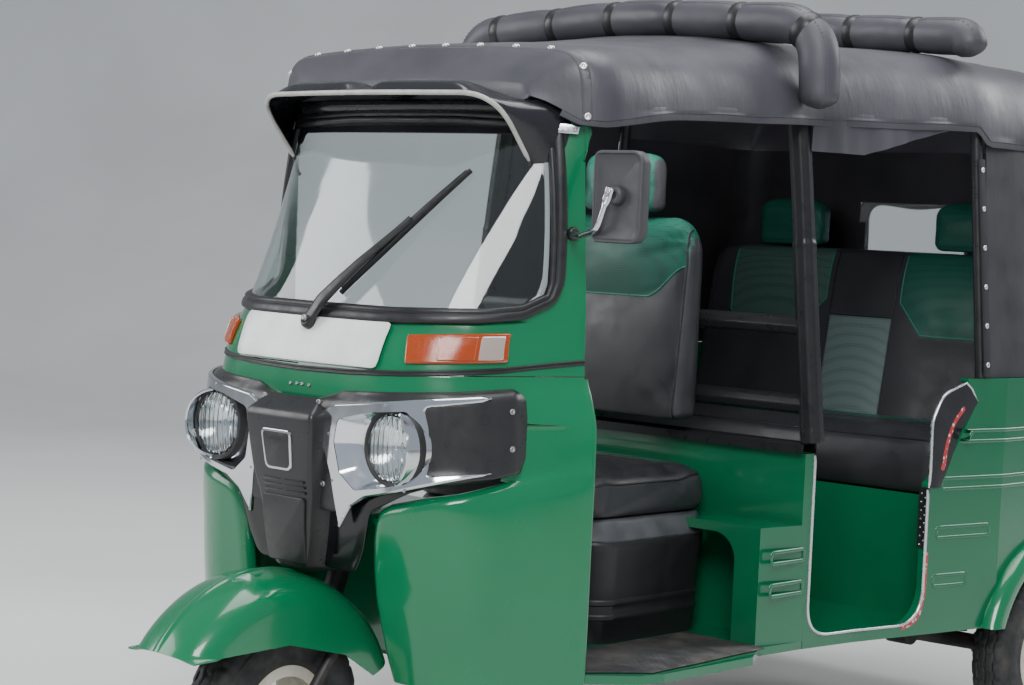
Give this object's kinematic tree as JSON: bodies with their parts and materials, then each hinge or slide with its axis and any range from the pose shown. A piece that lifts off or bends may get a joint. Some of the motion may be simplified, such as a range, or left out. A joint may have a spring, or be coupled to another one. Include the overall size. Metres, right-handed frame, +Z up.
{
  "type": "auto rickshaw",
  "caption": "Three-wheeled passenger taxi with a handlebar-steered front wheel, a driver's seat, a rear bench under a cloth canopy and a rear engine.",
  "frame": {"origin": "on the ground under the middle of the overall length, on the vehicle's centre line", "axes": "+Z up; +Y towards the rear, so the front wheel is at -Y; +X towards the vehicle's left side"},
  "size_m": [1.3006, 2.635, 1.784],
  "materials": {
    "green_paint": "glossy emerald green enamel on pressed steel",
    "black_plastic": "grained matt black moulding",
    "gloss_black": "smooth glossy black moulding",
    "clear_glass": "clear laminated glass",
    "black_rubber": "satin black rubber",
    "tyre_rubber": "ribbed tyre rubber",
    "lamp_chrome": "bright chrome plate",
    "lamp_glass": "clear moulded lamp glass",
    "amber_lens": "amber lens",
    "red_lens": "red lens",
    "seat_vinyl": "dark grey seat vinyl with green panels",
    "hood_vinyl": "charcoal coated cloth",
    "padded_vinyl": "black padded vinyl sleeve",
    "rim_paint": "pale cream silver enamel",
    "chassis_black": "black chassis enamel with road dust",
    "engine_alloy": "dull cast alloy",
    "silencer_steel": "heat-dulled dark steel",
    "mirror_black": "satin black mirror housing"
  },
  "bodies": {
    "chassis": {"floor_pan": "green_paint", "front_panel": "green_paint", "windscreen": "clear_glass", "windscreen_seal": "black_rubber", "leg_shield": "green_paint", "nose_infill": "gloss_black", "nose_cover": "black_plastic", "lamp_bezels": "lamp_chrome", "headlamps": "lamp_glass", "indicators": "amber_lens", "sun_visor": "gloss_black", "wiper": "black_plastic", "dash_panel": "black_plastic", "steering_tunnel": "green_paint", "partition": "green_paint", "partition_strip": "black_rubber", "driver_seat_base": "black_plastic", "driver_cushion": "seat_vinyl", "driver_backrest": "seat_vinyl", "hoop_middle": "padded_vinyl", "hoop_rear": "chassis_black", "side_panel_right": "green_paint", "side_panel_left": "green_paint", "rear_mudguards": "green_paint", "seat_deck": "green_paint", "rear_panel": "green_paint", "tail_lamps": "red_lens", "passenger_cushion": "seat_vinyl", "passenger_backrest": "seat_vinyl", "canopy": "hood_vinyl", "roof_rolls": "hood_vinyl", "rear_curtain": "hood_vinyl", "rear_window": "clear_glass", "side_curtain": "hood_vinyl", "sun_flap": "hood_vinyl", "mirror": "mirror_black", "chassis_rails": "chassis_black", "trailing_arms": "chassis_black", "dampers": "chassis_black", "engine": "engine_alloy", "silencer": "silencer_steel", "rear_bumper": "chassis_black"},
    "steering": {"steering_column": "chassis_black", "fork_arm": "chassis_black", "front_mudguard": "green_paint"},
    "front_wheel": {"front_rim": "rim_paint", "front_tyre": "tyre_rubber"},
    "rear_wheel_left": {"rear_left_rim": "rim_paint", "rear_left_tyre": "tyre_rubber"},
    "rear_wheel_right": {"rear_right_rim": "rim_paint", "rear_right_tyre": "tyre_rubber"},
    "engine_door": {"engine_door": "green_paint"}
  },
  "joints": [
    {"name": "steering", "type": "hinge", "parent": "chassis", "child": "steering", "pos_m": [0, -0.84452, 0.5], "axis": [0, 0.342, 0.9397], "range_deg": [-38, 38]},
    {"name": "front_wheel_spin", "type": "hinge", "parent": "steering", "child": "front_wheel", "pos_m": [0, -1.0175, 0.208], "axis": [-1, 0, 0], "continuous": true},
    {"name": "rear_wheel_left_spin", "type": "hinge", "parent": "chassis", "child": "rear_wheel_left", "pos_m": [0.575, 0.9825, 0.208], "axis": [-1, 0, 0], "continuous": true},
    {"name": "rear_wheel_right_spin", "type": "hinge", "parent": "chassis", "child": "rear_wheel_right", "pos_m": [-0.575, 0.9825, 0.208], "axis": [-1, 0, 0], "continuous": true},
    {"name": "engine_door_hinge", "type": "hinge", "parent": "chassis", "child": "engine_door", "pos_m": [0, 1.2895, 0.41], "axis": [-1, 0, 0], "range_deg": [0, 90]}
  ]
}
